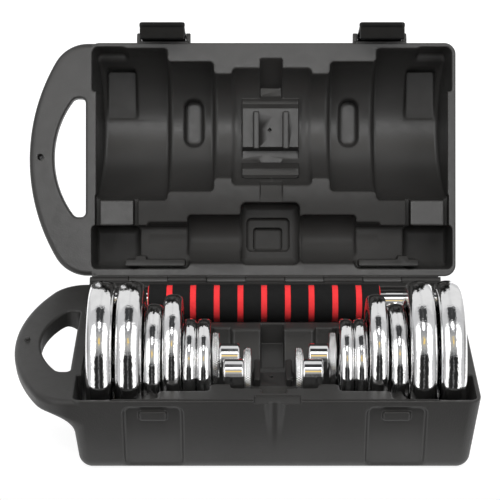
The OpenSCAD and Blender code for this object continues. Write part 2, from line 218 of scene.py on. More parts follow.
def base_channel(x, s, w):
    """Rear channel of the base: the bars lie in its bottom and the tube's ends rest in two saddles."""
    deep = box_hollow(x, s, w, (-171.5, 159.0), (12.5, 82.9), 76.0, 8.0, 12.0)
    ledge = box_hollow(x, s, w, (-189.0, 177.0), (12.5, 82.9), 5.1, 4.0, 1.0)
    saddle = both(rod(s, w, 41.5, 5.1, 14.4), span(x, -189.0, 177.0), 1.5)
    ridge = both(both(span(np.abs(x), -1, 104), span(s, 60, 100), 3.0), w - 5, 2.0)
    hollow = np.minimum(np.minimum(deep, ledge), np.minimum(saddle, ridge))
    return both(hollow, inside_walls(x, s, w, 2.6), 1.5)


def lid_channel(x, s, w):
    """Rear channel of the lid."""
    side = np.abs(x)
    ends = both(both(span(side, 138, 189), span(s, 12.8, 57.5), 6.0), w - 40, 8.0)
    low = both(both(span(side, 86, 150), span(s, 12.8, 57.5), 6.0), w - 15, 4.0)
    grips = both(rod(s, w, 43.5, 0, 25), span(side, 30, 88), 4.0)
    centre = box_hollow(x, s, w, (-32.5, 29), (17, 81.5), 30.0, 6.0, 8.0)
    steps = np.minimum(box_hollow(x, s, w, (-26.3, 19.1), (30.5, 66), 36.0, 5.0, 3.0),
                       box_hollow(x, s, w, (-19.3, 11.3), (31.5, 55.5), 41.0, 4.0, 3.0))
    foam = both(rod(s, w, 41.5, -5.1, 20.3), span(x, -130, 113), 3.0)
    tube = both(rod(s, w, 41.5, -2.0, 14.8), span(x, -188.5, 176.5), 2.0)
    hollow = either(either(ends, low, 2.0), either(grips, np.minimum(centre, steps), 3.0), 3.0)
    hollow = either(hollow, np.minimum(foam, tube), 1.5)
    island = np.minimum(both(span(side, 90.5, 153.5), span(s, 15.0, 22.4), 2.0),
                        both(span(side, 131, 143), span(s, 18.0, 26.0), 2.0))
    island = both(island, 1.6 - w, 0.8)
    return both(both(hollow, -island, 1.0), inside_walls(x, s, w, 3.0), 3.0)


def lid_recesses(x, s, w):
    """Further recesses in the floors of the lid's pockets."""
    side = np.abs(x)
    slots = both(both(span(side, 73, 93), span(s, 144.3, 193.2), 9.0), w - 73, 5.0)
    pads = both(both(span(side, 145, 176.5), span(s, 174.6, 226), 4.0), w - 76, 2.0)
    return np.minimum(slots, pads)


def lid_gaps(x, s, w):
    """Gaps on both sides of the square pad between the large pocket and the end pocket."""
    side = np.abs(x)
    gaps = np.minimum(span(side, 139.7, 144.5), span(side, 179.3, 184.5))
    return both(both(gaps, span(s, 54, 90), 1.5), w - 14, 1.0)


def latch_recess(x, s, w):
    """Recess in the front wall below each latch."""
    k = 1 / math.hypot(1, LEAN)
    depth = (MID_S + CASE_D / 2 - LEAN * w - s) * k
    room = both(np.abs(np.abs(x) - LATCH_X) - RECESS_W / 2, span(w, 7, 75), 7.0)
    return both(room, depth - RECESS_DEPTH, 3.0)


def latch_catch(x, s, w):
    """Catch in each recess, under which the latch's hook goes."""
    k = 1 / math.hypot(1, LEAN)
    depth = (MID_S + CASE_D / 2 - LEAN * w - s) * k
    pad = both(np.abs(np.abs(x) - LATCH_X) - 13, span(w, 12.5, 23), 3.0)
    return both(pad, 1 - depth, 2.0)


def latch_ears(x, s, w):
    """Ears that carry each latch's pin, and the web between them, on the front wall of the lid."""
    axis_s, aside = MID_S + CASE_D / 2 + LATCH_OUT, np.abs(np.abs(x) - LATCH_X)
    wall = MID_S + CASE_D / 2 - LEAN * w
    arm = both(both(wall - 2 - s, s - axis_s, 0.1), span(w, LATCH_UP - BARREL_R, LATCH_UP + BARREL_R), 0.8)
    ear = np.minimum(rod(s, w, axis_s, LATCH_UP, BARREL_R), arm)
    ear = both(ear, span(aside, LATCH_HALF + 0.4, LATCH_HALF + 5.2), 0.7)
    web = both(both(wall - 2 - s, s - axis_s + BARREL_R - 0.1, 0.3), span(w, LATCH_UP - 5, LATCH_UP + 3), 1.0)
    return np.minimum(ear, both(web, aside - LATCH_HALF - 3, 0.3))


def front_groove(x, s, w):
    """Upright half-round groove in the middle of the front wall."""
    return both(rod(x, s, 0, MID_S + CASE_D / 2 + 6.1, 11), 3 - w, 1.0)


def knuckles(x, s, w, first):
    """Every other hinge knuckle, with the web that joins it to the rear rim, and the strip behind them all."""
    length = (HINGE_END - HINGE_START) / 9
    t = (x - HINGE_START - first * length) / (2 * length)
    n = np.clip(np.floor(t), 0, 4 - first)
    along = span(x - HINGE_START - (first + 2 * n) * length, 0.08, length - 0.08)
    barrel = both(rod(s, w, 0, 0, 4.0), along, 0.1)
    web = both(both(span(s, 0, 6.5), span(w, 0.3, 4.0), 0.5), along, 0.1)
    inset = span(x, HINGE_START + 2, HINGE_END - 2)
    strip = np.maximum(np.maximum(span(s, 4.15, 8), span(w, 0.2, 9)), inset)
    if first == 1:
        strip = np.minimum(strip, np.maximum(np.maximum(span(s, -2.5, 8), span(w, 4.3, 6.8)), inset))
    return np.minimum(np.minimum(barrel, web), strip)


def deck_lines(x, s, w):
    """Narrow groove along the front deck of the base, and the lower saddle in its middle."""
    runs = np.minimum(span(x, -153, -20), span(x, 25, 153))
    groove = both(both(runs, span(s, 244.0, 246.2), 1.0), w - 1.8, 0.3)
    saddle = both(both(span(x, -19, 24), s - 260, 1.0), w - 2.2, 0.5)
    return np.minimum(groove, both(saddle, 236 - s, 1.0))


def base_field(x, s, w):
    solid = outer_form(x, s, w)
    hollow = either(stack_hollow(x, s, w, BASE_STACK, BASE_BAND), base_channel(x, s, w), 2.0)
    solid = both(solid, -hollow, 1.6)
    solid = both(solid, -deck_lines(x, s, w), 0.6)
    solid = np.minimum(solid, middle_frame(x, s, w, BASE_BAND, 150))
    solid = both(solid, -latch_recess(x, s, w), 2.5)
    solid = either(solid, latch_catch(x, s, w), 1.5)
    solid = both(solid, -front_groove(x, s, w), 1.5)
    solid = np.minimum(solid, knuckles(x, s, w, 0))
    peg = both(rod(x, s, -241.6, 129, 2.6), span(w, -3, 2), 0.8)
    return np.minimum(solid, peg)


def lid_field(x, s, w):
    solid = outer_form(x, s, w)
    hollow = either(stack_hollow(x, s, w, LID_STACK, LID_BAND), lid_channel(x, s, w), 2.0)
    hollow = either(hollow, lid_recesses(x, s, w), 3.0)
    solid = both(solid, -hollow, 1.6)
    solid = both(solid, -lid_gaps(x, s, w), 1.0)
    solid = np.minimum(solid, middle_frame(x, s, w, LID_BAND, 108))
    solid = np.minimum(solid, knuckles(x, s, w, 1))
    solid = either(solid, latch_ears(x, s, w), 0.8)
    hole = both(rod(x, s, -241.6, 129, 3.0), w - 14, 0.5)
    return both(solid, -hole, 0.6)


# ---------- distance field to mesh ----------

BLOCK = 8


def sample(field, low, shape, step):
    """The field's values on a grid. Only blocks that the surface may cross are worked out in full."""
    blocks = [-(-n // BLOCK) for n in shape]
    axes = [low[i] + (np.arange(blocks[i]) * BLOCK + (BLOCK - 1) / 2) * step for i in range(3)]
    coarse = field(*np.meshgrid(*axes, indexing="ij"))
    values = np.where(coarse < 0, -9.0, 9.0).astype(np.float32)
    values = values.repeat(BLOCK, 0).repeat(BLOCK, 1).repeat(BLOCK, 2)
    near = np.argwhere(np.abs(coarse) < 1.5 * step * BLOCK * math.sqrt(3) / 2)
    offset = np.stack(np.meshgrid(*[np.arange(BLOCK)] * 3, indexing="ij"), -1).reshape(-1, 3)
    for part in np.array_split(near, max(1, len(near) // 500)):
        ijk = (part[:, None, :] * BLOCK + offset).reshape(-1, 3)
        p = np.asarray(low) + ijk * step
        values[ijk[:, 0], ijk[:, 1], ijk[:, 2]] = field(p[:, 0], p[:, 1], p[:, 2])
    return values


def nets(values, low, step):
    """Surface nets: one vertex for each cell that the surface crosses, and one quad for each crossed grid edge."""
    inside = values < 0
    cells = tuple(n - 1 for n in values.shape)
    corners = [(i, j, k) for i in (0, 1) for j in (0, 1) for k in (0, 1)]
    count = sum(inside[i:i + cells[0], j:j + cells[1], k:k + cells[2]].astype(np.int8) for i, j, k in corners)
    cell = np.argwhere((count > 0) & (count < 8))
    total, hits = np.zeros((len(cell), 3)), np.zeros(len(cell))
    at = {c: values[cell[:, 0] + c[0], cell[:, 1] + c[1], cell[:, 2] + c[2]] for c in corners}
    for a in corners:
        for axis in range(3):
            if a[axis]:
                continue
            b = tuple(1 if i == axis else v for i, v in enumerate(a))
            crossed = (at[a] < 0) != (at[b] < 0)
            t = np.where(crossed, at[a] / np.where(crossed, at[a] - at[b], 1), 0)
            point = np.tile(np.array(a, float), (len(cell), 1))
            point[:, axis] += t
            total += np.where(crossed[:, None], point, 0)
            hits += crossed
    vertices = np.asarray(low) + (cell + total / hits[:, None]) * step
    index = np.full(cells, -1, np.int32)
    index[cell[:, 0], cell[:, 1], cell[:, 2]] = np.arange(len(cell))
    quads = []
    for axis in range(3):
        u, v = (axis + 1) % 3, (axis + 2) % 3
        here = [slice(1, -1)] * 3
        there = list(here)
        here[axis], there[axis] = slice(0, -1), slice(1, None)
        start = inside[tuple(here)]
        edge = np.argwhere(start != inside[tuple(there)])
        flip = ~start[edge[:, 0], edge[:, 1], edge[:, 2]]
        edge += [0 if i == axis else 1 for i in range(3)]
        ring = []
        for du, dv in ((0, 0), (1, 0), (1, 1), (0, 1)):
            c = edge.copy()
            c[:, u] -= du
            c[:, v] -= dv
            ring.append(index[c[:, 0], c[:, 1], c[:, 2]])
        ring = np.stack(ring, 1)
        ring[flip] = ring[flip][:, ::-1]
        quads.append(ring)
    return vertices, np.concatenate(quads)


def slope_of(field, p, reach):
    """The field's gradient at points, by central differences."""
    grad = np.empty_like(p)
    for axis in range(3):
        up, down = p.copy(), p.copy()
        up[:, axis] += reach
        down[:, axis] -= reach
        grad[:, axis] = (field(*up.T) - field(*down.T)) / (2 * reach)
    return grad


def settle(field, p, step, rounds):
    """Moves points onto the surface."""
    for _ in range(rounds):
        grad = slope_of(field, p, 0.1)
        pull = field(*p.T) / np.maximum((grad ** 2).sum(1), 0.25)
        p = p - np.clip(pull, -step, step)[:, None] * grad
    return p


def flattened(mesh, p, normal, step):
    """The points' normals, except beside large flat faces, whose direction they take so that those shade evenly."""
    corners = np.empty(len(mesh.loops), int)
    mesh.loops.foreach_get("vertex_index", corners)
    if len(corners) != 3 * len(mesh.polygons):
        return normal
    a, b, c = corners.reshape(-1, 3).T
    facing = np.cross(p[b] - p[a], p[c] - p[a])
    area = np.linalg.norm(facing, axis=1)
    total, largest = np.zeros_like(p), np.zeros(len(p))
    for corner in (a, b, c):
        np.add.at(total, corner, facing * area[:, None])
        np.maximum.at(largest, corner, area)
    total /= np.maximum(np.linalg.norm(total, axis=1), 1e-12)[:, None]
    total *= np.sign((total * normal).sum(1))[:, None]
    share = np.clip(largest / (4 * step * step) - 1, 0, 1)[:, None]
    mixed = normal * (1 - share) + total * share
    return mixed / np.maximum(np.linalg.norm(mixed, axis=1), 1e-9)[:, None]


def field_mesh(name, field, low, high, step, faces, place):
    """Closed mesh of a distance field, reduced to a number of faces, with the field's own normals.
    place turns points from the field's millimetres to metres in the row frame and says whether it mirrors them."""
    shape = [int(math.ceil((h - l) / step)) + 2 for l, h in zip(low, high)]
    values = sample(field, low, shape, step)
    vertices, quads = nets(values, low, step)
    vertices = settle(field, vertices, 0.7 * step, 3)
    raw = bpy.data.meshes.new(name + "_raw")
    raw.from_pydata(vertices, [], quads)
    obj = bpy.data.objects.new(name, raw)
    bpy.context.scene.collection.objects.link(obj)
    reduce = obj.modifiers.new("reduce", "DECIMATE")
    reduce.ratio = min(1.0, faces / (2 * len(quads)))
    mesh = bpy.data.meshes.new_from_object(obj.evaluated_get(bpy.context.evaluated_depsgraph_get()))
    obj.modifiers.clear()
    obj.data = mesh
    bpy.data.meshes.remove(raw)
    mesh.name = name
    p = np.empty(len(mesh.vertices) * 3)
    mesh.vertices.foreach_get("co", p)
    p = settle(field, p.reshape(-1, 3), 0.3 * step, 2)
    normal = slope_of(field, p, 0.3)
    normal /= np.maximum(np.linalg.norm(normal, axis=1), 1e-9)[:, None]
    normal = flattened(mesh, p, normal, step)
    tip, mirrored = place(p + normal)
    p, _ = place(p)
    normal = tip - p
    normal /= np.linalg.norm(normal, axis=1)[:, None]
    mesh.vertices.foreach_set("co", p.ravel())
    if mirrored:
        mesh.flip_normals()
    mesh.polygons.foreach_set("use_smooth", [True] * len(mesh.polygons))
    mesh.normals_split_custom_set_from_vertices(normal)
    mesh.update()
    return obj


def base_place(p):
    """From (x, s, w) to the base's place."""
    return np.stack([p[:, 0], HINGE_Y - p[:, 1], SHELL_H - p[:, 2]], 1) * MM, False


def lid_place(p):
    """From (x, s, w) to the open lid's place."""
    c, n = math.cos(LID_OPEN), math.sin(LID_OPEN)
    y = HINGE_Y - c * p[:, 1] + n * p[:, 2]
    z = SHELL_H + n * p[:, 1] + c * p[:, 2]
    return np.stack([p[:, 0], y, z], 1) * MM, True


# ---------- materials ----------

class Nodes:
    """Short calls for building the node tree of one material, or of the surround."""

    def __init__(self, name, surround=False):
        self.material = (bpy.data.worlds if surround else bpy.data.materials).new(name)
        self.material.use_nodes = True
        self.tree = self.material.node_tree
        self.shader = self.tree.nodes["Background" if surround else "Principled BSDF"]
        self.point = self.tree.nodes.new("ShaderNodeTexCoord").outputs["Generated" if surround else "Object"]

    def add(self, kind, inputs=(), **settings):
        node = self.tree.nodes.new(kind)
        for key, value in settings.items():
            setattr(node, key, value)
        for key, value in dict(inputs).items():
            if isinstance(value, bpy.types.NodeSocket):
                self.tree.links.new(value, node.inputs[key])
            else:
                node.inputs[key].default_value = value
        return node

    def noise(self, scale, detail=3.0, rough=0.5, vector=None):
        return self.add("ShaderNodeTexNoise", {"Vector": vector or self.point, "Scale": scale, "Detail": detail,
                                               "Roughness": rough}).outputs["Fac"]

    def ramp(self, value, low, high, out_low, out_high):
        return self.add("ShaderNodeMapRange", {"Value": value, "From Min": low, "From Max": high,
                                               "To Min": out_low, "To Max": out_high}).outputs["Result"]

    def window(self, value, low, high, soft):
        """1 where value lies between low and high, falling to 0 over soft on both sides."""
        rise = self.ramp(value, low - soft, low + soft, 0.0, 1.0)
        return self.math("MULTIPLY", rise, self.ramp(value, high - soft, high + soft, 1.0, 0.0))

    def math(self, operation, a, b=0.0):
        return self.add("ShaderNodeMath", {0: a, 1: b}, operation=operation).outputs[0]

    def blend(self, factor, a, b):
        node = self.add("ShaderNodeMix", data_type="RGBA")
        for socket, value in ((node.inputs[0], factor), (node.inputs[6], a), (node.inputs[7], b)):
            if isinstance(value, bpy.types.NodeSocket):
                self.tree.links.new(value, socket)
            else:
                socket.default_value = value
        return node.outputs[2]

    def bump(self, height, strength, distance, normal=None):
        inputs = {"Height": height, "Strength": strength, "Distance": distance}
        if normal is not None:
            inputs["Normal"] = normal
        return self.add("ShaderNodeBump", inputs).outputs["Normal"]

    def set(self, **inputs):
        for key, value in inputs.items():
            socket = self.shader.inputs[key.replace("_", " ").title()]
            if isinstance(value, bpy.types.NodeSocket):
                self.tree.links.new(value, socket)
            else:
                socket.default_value = value
        return self.material


def grey(v, tint=(1.0, 1.0, 1.0)):
    return (v * tint[0], v * tint[1], v * tint[2], 1.0)


def case_plastic():
    """Black blow-moulded polyethylene with a fine leather grain that is strongest on the outer walls, and painted
    shade: lowered specular around the lid's rear channel and in two pads.
    """
    n = Nodes("case_plastic")
    grain = n.add("ShaderNodeAttribute", attribute_name="grain").outputs["Fac"]
    cells = n.add("ShaderNodeTexVoronoi", {"Vector": n.point, "Scale": 620.0}, feature="F1").outputs["Distance"]
    fine = n.noise(1500.0, 2.0)
    height = n.math("ADD", n.math("MULTIPLY", cells, 1.0), n.math("MULTIPLY", fine, 0.4))
    strength = n.ramp(grain, 0.0, 1.0, 0.16, 0.55)
    clouds = n.noise(9.0, 4.0)
    scuffs = n.noise(120.0, 5.0, 0.7)
    warm = (1.03, 1.0, 0.96)
    colour = n.blend(n.ramp(clouds, 0.35, 0.7, 0.0, 1.0), grey(0.017, warm), grey(0.023, warm))
    rough = n.math("ADD", n.ramp(scuffs, 0.3, 0.7, 0.36, 0.45), n.math("MULTIPLY", grain, 0.08))
    # Painted shade: the second point attribute turns the specular down, so that the lid's rear channel and two pads
    # look darker.
    dull_and_painted_shade = n.add("ShaderNodeAttribute", attribute_name="dull_and_painted_shade").outputs["Fac"]
    n.tree.links.new(n.ramp(dull_and_painted_shade, 0.0, 1.0, 0.46, 0.07), n.shader.inputs["Specular IOR Level"])
    return n.set(base_color=colour, roughness=rough, normal=n.bump(height, strength, 0.00025))


def latch_plastic():
    n = Nodes("latch_plastic")
    height = n.noise(1400.0, 2.0)
    rough = n.ramp(n.noise(150.0, 4.0, 0.6), 0.3, 0.7, 0.3, 0.42)
    n.shader.inputs["Specular IOR Level"].default_value = 0.2
    return n.set(base_color=grey(0.004), roughness=rough, normal=n.bump(height, 0.15, 0.0002))


def chrome(name, wave, peel):
    """Bright chrome plate with small dulled patches, over a surface with some waviness and orange peel."""
    n = Nodes(name)
    dull_and_painted_shade = n.noise(300.0, 4.0, 0.7)
    rough = n.ramp(dull_and_painted_shade, 0.5, 0.8, 0.03, 0.10)
    tone = n.blend(n.ramp(n.noise(60.0, 3.0), 0.4, 0.7, 0.0, 1.0), (0.90, 0.90, 0.90, 1), (0.84, 0.84, 0.84, 1))
    bent = n.bump(n.noise(45.0, 2.0), wave, 0.0008)
    bent = n.bump(n.noise(260.0, 2.0), peel, 0.00026, bent)
    bent = n.bump(n.noise(900.0, 1.0), peel, 0.00009, bent)
    return n.set(base_color=tone, metallic=1.0, roughness=rough, normal=bent)


def steel():
    n = Nodes("steel")
    rough = n.ramp(n.noise(500.0, 3.0), 0.3, 0.7, 0.25, 0.4)
    return n.set(base_color=(0.55, 0.55, 0.56, 1), metallic=1.0, roughness=rough,
                 normal=n.bump(n.noise(900.0, 2.0), 0.1, 0.0002))


def rubber():
    n = Nodes("rubber")
    rough = n.ramp(n.noise(400.0, 3.0), 0.3, 0.7, 0.55, 0.75)
    return n.set(base_color=grey(0.012), roughness=rough, normal=n.bump(n.noise(1600.0, 2.0), 0.3, 0.0002))


def foam(name, dark, light):
    """Closed-cell foam: fine pores, matt, with slightly uneven colour."""
    n = Nodes(name)
    pores = n.add("ShaderNodeTexVoronoi", {"Vector": n.point, "Scale": 1100.0}, feature="F1").outputs["Distance"]
    colour = n.blend(n.noise(160.0, 4.0, 0.6), dark, light)
    n.shader.inputs["Specular IOR Level"].default_value = 0.25
    return n.set(base_color=colour, roughness=0.85, normal=n.bump(pores, 0.5, 0.0003))


# ---------- turned parts ----------

def mesh_piece(name, vertices, faces, smooth=True, sharp=None):
    """Piece from points in millimetres in the row frame."""
    mesh = bpy.data.meshes.new(name)
    mesh.from_pydata(np.asarray(vertices) * MM, [], [list(map(int, f)) for f in faces])
    mesh.polygons.foreach_set("use_smooth", [smooth] * len(mesh.polygons))
    mesh.update()
    obj = bpy.data.objects.new(name, mesh)
    bpy.context.scene.collection.objects.link(obj)
    if sharp:
        mesh.set_sharp_from_angle(angle=math.radians(sharp))
    return obj


def supported(profile):
    """The outline with a further point close to both ends of each long stretch, which keeps its shading straight."""
    points = []
    for (x0, r0), (x1, r1) in zip(profile, list(profile[1:]) + [profile[0]]):
        points.append((x0, r0))
        length = math.hypot(x1 - x0, r1 - r0)
        if length > 3:
            for t in (0.3 / length, 1 - 0.3 / length):
                points.append((x0 + (x1 - x0) * t, r0 + (r1 - r0) * t))
    return points


def turned(name, profile, centre, sides=160, sharp=35, shift=None):
    """Ring-shaped solid turned about an axis along X. profile is a closed outline of (x, radius) pairs.
    shift, where given, returns how far each point moves outwards, from its x, angle and radius."""
    outline = np.asarray(supported(profile), float)
    angles = np.arange(sides) * 2 * math.pi / sides
    x = np.repeat(outline[:, 0][:, None], sides, 1)
    r = np.repeat(outline[:, 1][:, None], sides, 1)
    a = np.repeat(angles[None, :], len(outline), 0)
    if shift is not None:
        r = r + shift(x, a, r)
    points = np.stack([centre[0] + x, centre[1] + r * np.cos(a), centre[2] + r * np.sin(a)], -1).reshape(-1, 3)
    rows, faces = len(outline), []
    for i in range(rows):
        j = (i + 1) % rows
        for k in range(sides):
            m = (k + 1) % sides
            faces.append((i * sides + k, i * sides + m, j * sides + m, j * sides + k))
    obj = mesh_piece(name, points, faces, sharp=sharp)
    tidy = bmesh.new()
    tidy.from_mesh(obj.data)
    bmesh.ops.recalc_face_normals(tidy, faces=tidy.faces)
    tidy.to_mesh(obj.data)
    tidy.free()
    return obj


def arc(cx, cr, radius, start, end, steps):
    """Points along an arc in the (x, radius) plane, with angles in degrees from the +x direction."""
    return [(cx + radius * math.cos(math.radians(start + (end - start) * i / steps)),
             cr + radius * math.sin(math.radians(start + (end - start) * i / steps))) for i in range(steps + 1)]


def centre_of(node):
    """Middle of a CAD node in millimetres, and its half sizes."""
    low, high = (np.array(v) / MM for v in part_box(node))
    return (low + high) / 2, (high - low) / 2


BORE_R = 13.25
RIM_WIDTH = {"large": 24.0, "medium": 19.0, "small": 14.0}


def plate(node):
    """Cast plate with a full round rim, a dished web and a raised hub."""
    centre, half = centre_of(node)
    r, t = half[1], 2 * half[0]
    rim = RIM_WIDTH[node.split("_")[1]]
    crown, outer, inner_r, web, hub = 0.84 * t, 0.28 * t, 0.3 * t, 0.21 * t, 0.39 * t
    inner = r - rim
    right = [(web, BORE_R + 11), (web, inner - 1)]
    right += arc(web + 2, inner - 1 + 0.5, 1.5, 200, 150, 3)
    right += arc(t / 2 - inner_r, inner + inner_r, inner_r, -60, 0, 6)
    right += arc(t / 2 - outer, r - 0.325 * t, outer, 0, 66.9, 10)
    right += arc(0, r - crown, crown, 68.5, 90, 12)
    face = [(hub - 1.2, BORE_R), (hub, BORE_R + 1.2), (hub, BORE_R + 6.2), (hub - 0.8, BORE_R + 7.2),
            (web + 0.6, BORE_R + 8.4)]
    right = face + right
    profile = right + [(-x, y) for x, y in reversed(right)]
    return turned(node + "_chrome", profile, centre, 192)


def knurl(pitch_angle, pitch_x, depth):
    """Diamond knurling: how far a point of a turned part moves outwards."""
    def shift(x, a, r):
        u = a / pitch_angle
        v = x / pitch_x
        ridges = np.abs(((u + v) % 1) - 0.5) + np.abs(((u - v) % 1) - 0.5)
        return (ridges - 0.5) * depth
    return shift


def collar(node, direction):
    """Spin-lock collar: a knurled flange and a smooth chamfered drum, threaded inside."""
    centre, half = centre_of(node)
    length, r = 2 * half[0], half[1]
    flange, drum, bore, seat = 7.5, 15.25, 12.55, 19.0
    rows = 15
    rim = [(1.0 + (flange - 2.0) * i / rows, r - 0.45) for i in range(rows + 1)]
    profile = [(1.5, bore), (1.5, seat), (0.0, seat + 0.2), (0.0, r - 1.8), (0.4, r - 0.9)] + rim
    profile += [(flange - 0.4, r - 0.9), (flange, r - 1.8), (flange, drum + 2.4)]
    profile += arc(flange + 1.6, drum + 1.6, 1.6, 180, 270, 4)
    profile += [(length - 1.6, drum), (length - 0.5, drum - 0.5), (length, drum - 1.6), (length, bore + 1.2)]
    threads = np.arange(length - 1.2, 2.0, -0.6)
    profile += [(x, bore + 0.05) for x in threads]

    edge = knurl(2 * math.pi / 72, 3.2, 0.9)

    def shift(x, a, r_here):
        on_rim = (r_here > r - 0.6) & (x > 1.2) & (x < flange - 1.2)
        in_bore = (r_here < bore + 0.3) & (x > 2.0) & (x < length - 1.0)
        thread = 0.35 * (0.5 - 0.5 * np.cos(x / 2.5 * 2 * math.pi + a))
        return np.where(on_rim, edge(x, a, r_here), 0) + np.where(in_bore, thread, 0)
    if direction < 0:
        profile = [(-x, y) for x, y in profile]
    start = np.array([centre[0] - direction * half[0], centre[1], centre[2]])

    def turned_shift(x, a, r_here):
        return shift(direction * x, a, r_here)
    return turned(node + "_chrome", profile, start, 504, shift=turned_shift, sharp=50)


def clamp_ring(node):
    """Rubber washer in the collar's face."""
    centre, half = centre_of(node)
    t, r = half[0], half[1]
    profile = [(-t, 13.6), (-t, r - 0.4), (-t + 0.4, r), (t - 0.4, r), (t, r - 0.4), (t, 13.6), (t - 0.3, 13.5),
               (-t + 0.3, 13.5)]
    return turned(node + "_rubber", profile, centre, 96)


BAR_R, STOP_X = 12.5, 63.0


def bar(node):
    """Threaded bar with a knurled grip."""
    centre, half = centre_of(node)
    length, grip = 320.0, 121.0
    r, grip_r, stop = BAR_R, 14.5, STOP_X
    end = length / 2
    step = 0.7
    right = [(end, 0.01), (end, r - 2.2), (end - 1.2, r - 1.0)]
    right += [(x, r - 0.25) for x in np.arange(end - 2.0, stop + 6, -step)]
    right += [(stop + 5.5, r - 0.3), (stop + 4.5, r), (grip / 2 + 0.6, r), (grip / 2 + 0.4, grip_r - 0.7),
              (grip / 2 - 0.6, grip_r - 0.3)]
    right += [(x, grip_r - 0.3) for x in np.arange(grip / 2 - 1.2, 0.2, -step)]
    profile = right + [(-x, y) for x, y in reversed(right)]
    diamonds = knurl(2 * math.pi / 40, 5.0, 0.6)

    def shift(x, a, r_here):
        threaded = (np.abs(x) > stop + 5.8) & (np.abs(x) < end - 1.6)
        gripped = (np.abs(x) < grip / 2 - 1.0) & (r_here > grip_r - 0.5)
        thread = 0.5 * np.cos(x / 4.0 * 2 * math.pi + a) - 0.3
        return np.where(threaded, thread, 0) + np.where(gripped, diamonds(x, a, r_here), 0)
    return turned(node + "_chrome", profile, centre, 160, shift=shift, sharp=60)


def stops(node):
    """The two stop rings pressed on a bar, as one piece."""
    centre, half = centre_of(node)
    rings = []
    r = half[1]
    for side in (-1, 1):
        profile = [(-2.5, BAR_R), (-2.5, r - 1.2), (-2.2, r - 0.5), (-1.4, r),
                   (1.4, r), (2.2, r - 0.5), (2.5, r - 1.2), (2.5, BAR_R)]
        at = centre + np.array([side * STOP_X, 0, 0])
        rings.append(turned(node + "_ring", profile, at, 128))
    return joined(rings, node + "_chrome")


def joined(objects, name):
    """One object from several meshes."""
    whole = bmesh.new()
    for obj in objects:
        whole.from_mesh(obj.data)
    mesh = bpy.data.meshes.new(name)
    whole.to_mesh(mesh)
    whole.free()
    for obj in objects:
        data = obj.data
        bpy.data.objects.remove(obj)
        bpy.data.meshes.remove(data)
    obj = bpy.data.objects.new(name, mesh)
    bpy.context.scene.collection.objects.link(obj)
    return obj


def tube(node):
    """Chrome connecting tube, open and threaded at both ends."""
    centre, half = centre_of(node)
    end, r, bore = half[0], half[1], 12.55
    right = [(end, bore + 0.9), (end, r - 0.7), (end - 0.25, r - 0.2), (end - 0.8, r)]
    profile = right + [(-x, y) for x, y in reversed(right)]
    threads = np.arange(end - 1.0, end - 30, -0.7)
    profile += [(-x, bore + 0.05) for x in threads] + [(x, bore + 0.05) for x in threads[::-1]]

    def shift(x, a, r_here):
        inside = (r_here < bore + 0.5) & (np.abs(x) < end - 0.9) & (np.abs(x) > end - 29.5)
        return np.where(inside, 0.22 + 0.22 * np.cos(x / 4.0 * 2 * math.pi + a), 0)
    return turned(node + "_chrome", profile, centre, 144, shift=shift, sharp=50)


FOAM_BANDS, FOAM_GROOVE, FOAM_L = 10, 6.0, 237.0


def foam_sleeve(node):
    """Red foam sleeve under the bands, slightly crowned in each groove."""
    centre, half = centre_of(node)
    end, r = half[0], half[1]
    pitch = (FOAM_L - 2 + FOAM_GROOVE) / FOAM_BANDS
    right = arc(end - 1.6, r - 1.6, 1.6, 0, 90, 5)
    xs = np.linspace(end - 1.7, -(end - 1.7), 240)
    middle = [(x, r - 0.12 + 0.12 * math.cos((x + end - 1 + FOAM_GROOVE / 2) / pitch * 2 * math.pi)) for x in xs]
    left = [(-x, y) for x, y in reversed(right)]
    profile = [(end, 14.05)] + right + middle + left + [(-end, 14.05)]
    return turned(node + "_foam", profile, centre, 128, sharp=70)


def foam_bands(node):
    """Black foam bands with soft edges."""
    centre, half = centre_of(node)
    r = half[1]
    pitch = (FOAM_L - 2 + FOAM_GROOVE) / FOAM_BANDS
    width = pitch - FOAM_GROOVE
    rings = []
    for k in range(FOAM_BANDS):
        at = centre.copy()
        at[0] = centre[0] - (FOAM_BANDS - 1) * pitch / 2 + k * pitch
        right = [(width / 2 - 0.2, 18.55)] + arc(width / 2 - 0.95, r - 0.95, 0.95, -30, 90, 6)
        right += [(width / 4, r), (width / 8, r)]
        profile = right + [(-x, y) for x, y in reversed(right)]
        rings.append(turned(node + "_ring", profile, at, 128, sharp=80))
    return joined(rings, node + "_foam")


# ---------- latches ----------

LATCH_OUT, LATCH_UP, LATCH_DOWN, LATCH_T = 7.5, 17.0, 27.5, 3.8
LATCH_HALF, BARREL_R, HOOK_T = 23.0, 4.3, 3.6
AJAR = math.radians(8)


def latch_field(x, s, w):
    """A shut latch, in the closed case's frame: s forward from the hinge axis, w down from the rim plane."""
    axis_s, axis_w = MID_S + CASE_D / 2 + LATCH_OUT, -LATCH_UP
    across = np.abs(x) - LATCH_HALF
    barrel = both(rod(s, w, axis_s, axis_w, BARREL_R), across, 0.8)
    face = axis_s + BARREL_R
    panel = both(both(across, span(w, axis_w, LATCH_DOWN), 3.5), span(s, face - LATCH_T, face), 1.3)
    dish = both(both(np.abs(x) - LATCH_HALF + 5, span(w, axis_w + 8, LATCH_DOWN - 9), 3.0), face - 1.0 - s, 0.6)
    panel = both(panel, -dish, 0.8)
    hook = both(both(across, span(s, axis_s - LATCH_OUT - 5.5, face), 1.4), span(w, LATCH_DOWN - HOOK_T, LATCH_DOWN),
                1.0)
    lip = both(both(across, span(s, face - LATCH_T, face), 1.0), span(w, LATCH_DOWN - 4, LATCH_DOWN), 1.2)
    solid = np.minimum(either(either(barrel, panel, 1.5), hook, 2.0), lip)
    return both(solid, -rod(s, w, axis_s, axis_w, 1.6), 0.3)


